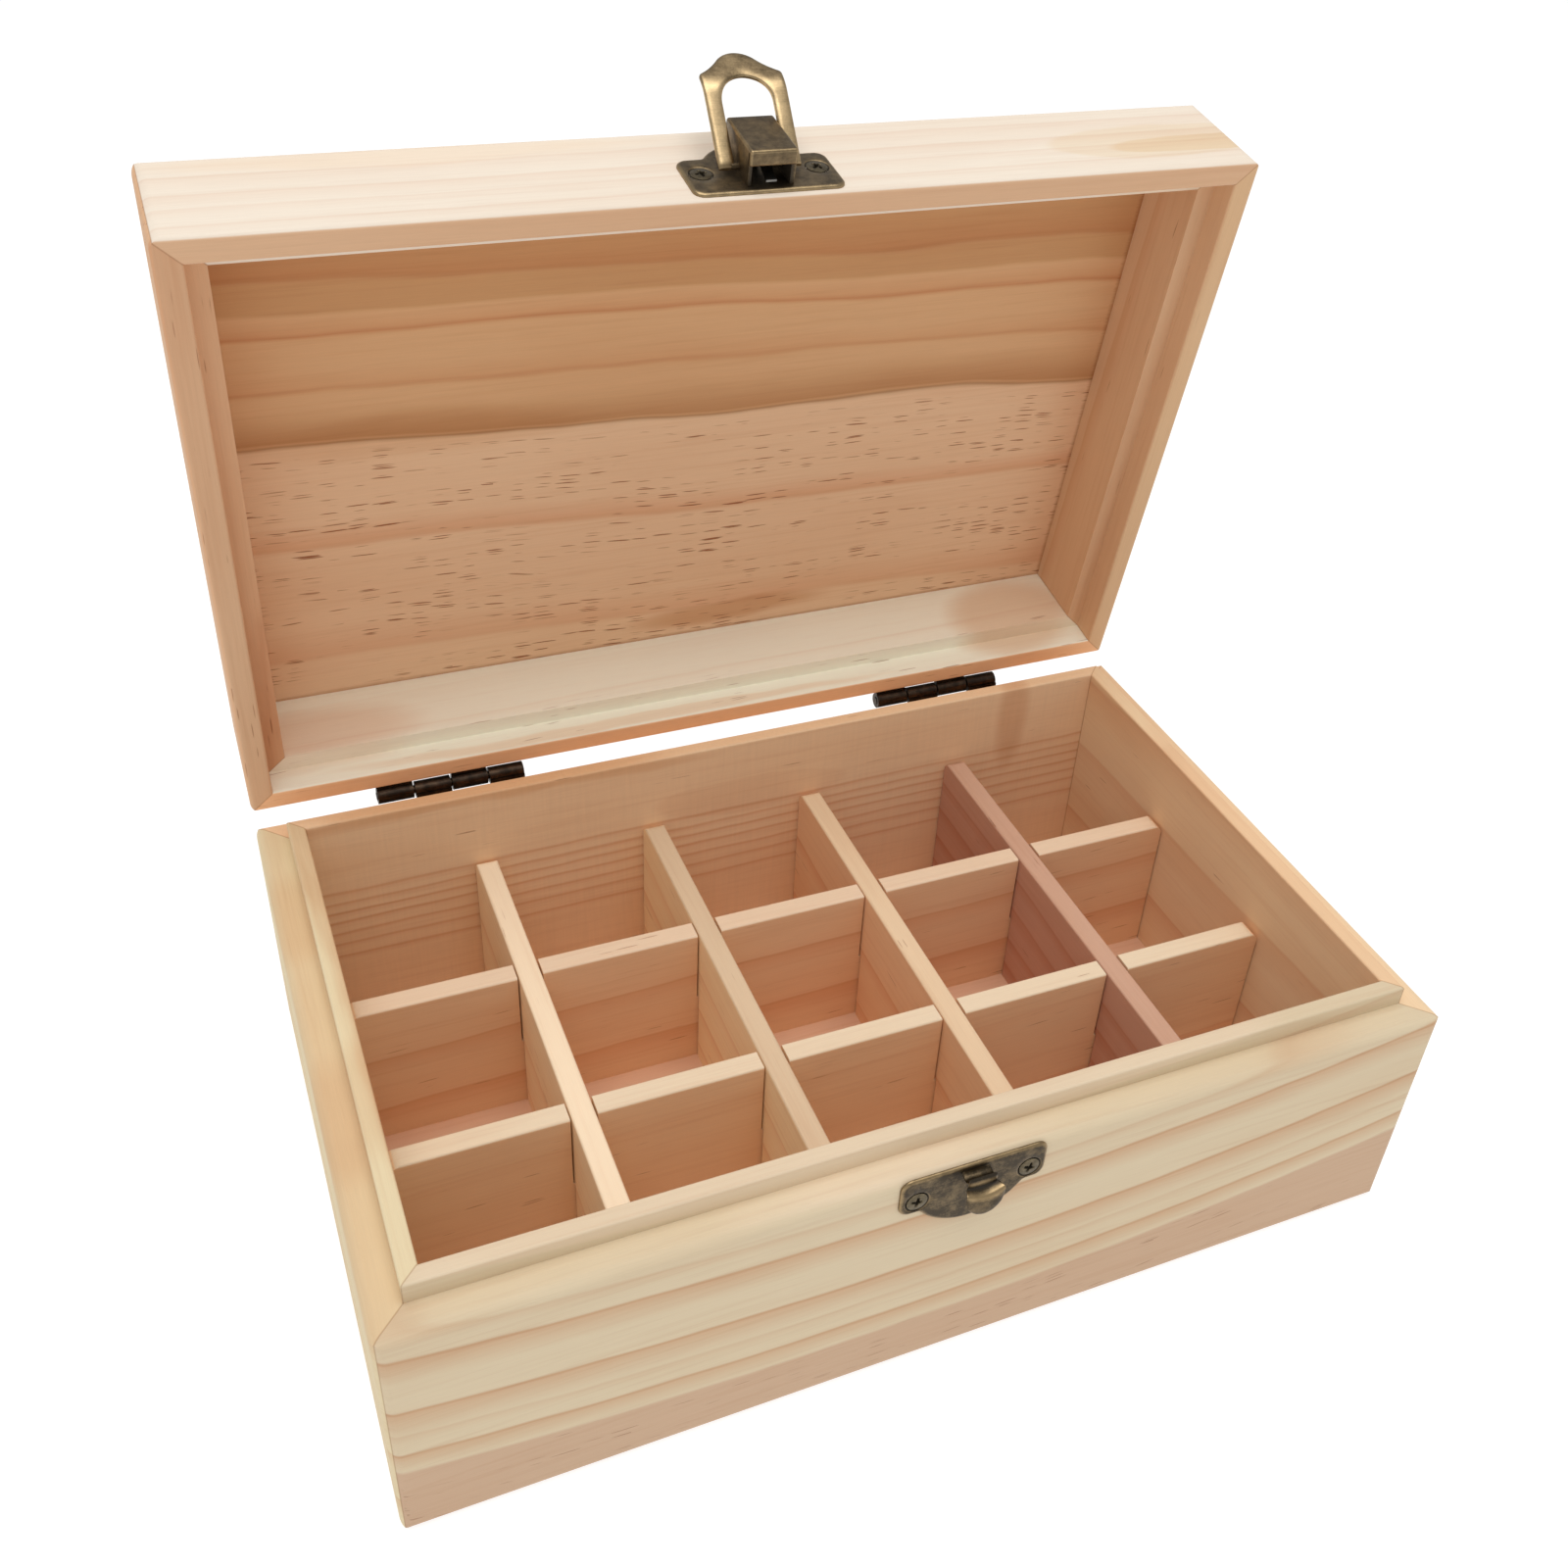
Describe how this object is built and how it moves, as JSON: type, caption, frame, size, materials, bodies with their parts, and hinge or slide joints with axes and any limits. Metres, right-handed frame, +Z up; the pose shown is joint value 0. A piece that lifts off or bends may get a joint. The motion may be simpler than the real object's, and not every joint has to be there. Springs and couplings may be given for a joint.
{
  "type": "compartment storage box",
  "caption": "Rectangular hinged wooden box whose base holds a lift-out grid of square compartments, closed by a toggle latch with a swinging bail over a hooked keeper.",
  "frame": {"origin": "middle of the base's underside, which rests on the table", "axes": "+Z up; +X along the box's length, to the right seen from the front; -Y is the front, where the latch is; +Y is the back, where the hinges are"},
  "size_m": [0.21, 0.1674, 0.2076],
  "materials": {
    "base_wood": "satin planed pine, unfinished",
    "panel_wood": "satin planed pine, unfinished",
    "divider_wood": "sawn and planed pine strip",
    "lid_wood": "satin planed pine, unfinished",
    "latch_metal": "antique bronze plating, brushed and worn",
    "bail_metal": "antique bronze plating, worn bright at its edges",
    "hinge_metal": "dark antique bronze plating, satin",
    "spring_steel": "bright spring steel",
    "screw_metal": "antique bronze plating"
  },
  "bodies": {
    "base": {"front_board": "base_wood", "back_board": "base_wood", "left_board": "base_wood", "right_board": "base_wood", "bottom_panel": "panel_wood", "cross_divider_1": "divider_wood", "cross_divider_2": "divider_wood", "cross_divider_3": "divider_wood", "cross_divider_4": "divider_wood", "long_divider_front": "divider_wood", "long_divider_back": "divider_wood", "keeper": "latch_metal", "keeper_screws": "screw_metal", "left_hinge_base_leaf": "hinge_metal", "right_hinge_base_leaf": "hinge_metal", "left_hinge_pin": "hinge_metal", "right_hinge_pin": "hinge_metal", "hinge_base_screws": "screw_metal"},
    "lid": {"lid_front_board": "lid_wood", "lid_back_board": "lid_wood", "lid_left_board": "lid_wood", "lid_right_board": "lid_wood", "lid_top_panel": "panel_wood", "left_hinge_lid_leaf": "hinge_metal", "right_hinge_lid_leaf": "hinge_metal", "hinge_lid_screws": "screw_metal", "latch_plate": "latch_metal", "latch_bracket": "latch_metal", "latch_spring": "spring_steel", "latch_screws": "screw_metal"},
    "bail": {"latch_bail": "bail_metal"}
  },
  "joints": [
    {"name": "lid_hinge", "type": "hinge", "parent": "base", "child": "lid", "pos_m": [0, 0.0692, 0.05465], "axis": [-1, 0, 0], "range_deg": [-80, 100]},
    {"name": "bail_pivot", "type": "hinge", "parent": "lid", "child": "bail", "pos_m": [-0.0003, 0.05293, 0.19211], "axis": [-1, 0, 0], "range_deg": [-138, 32]}
  ]
}
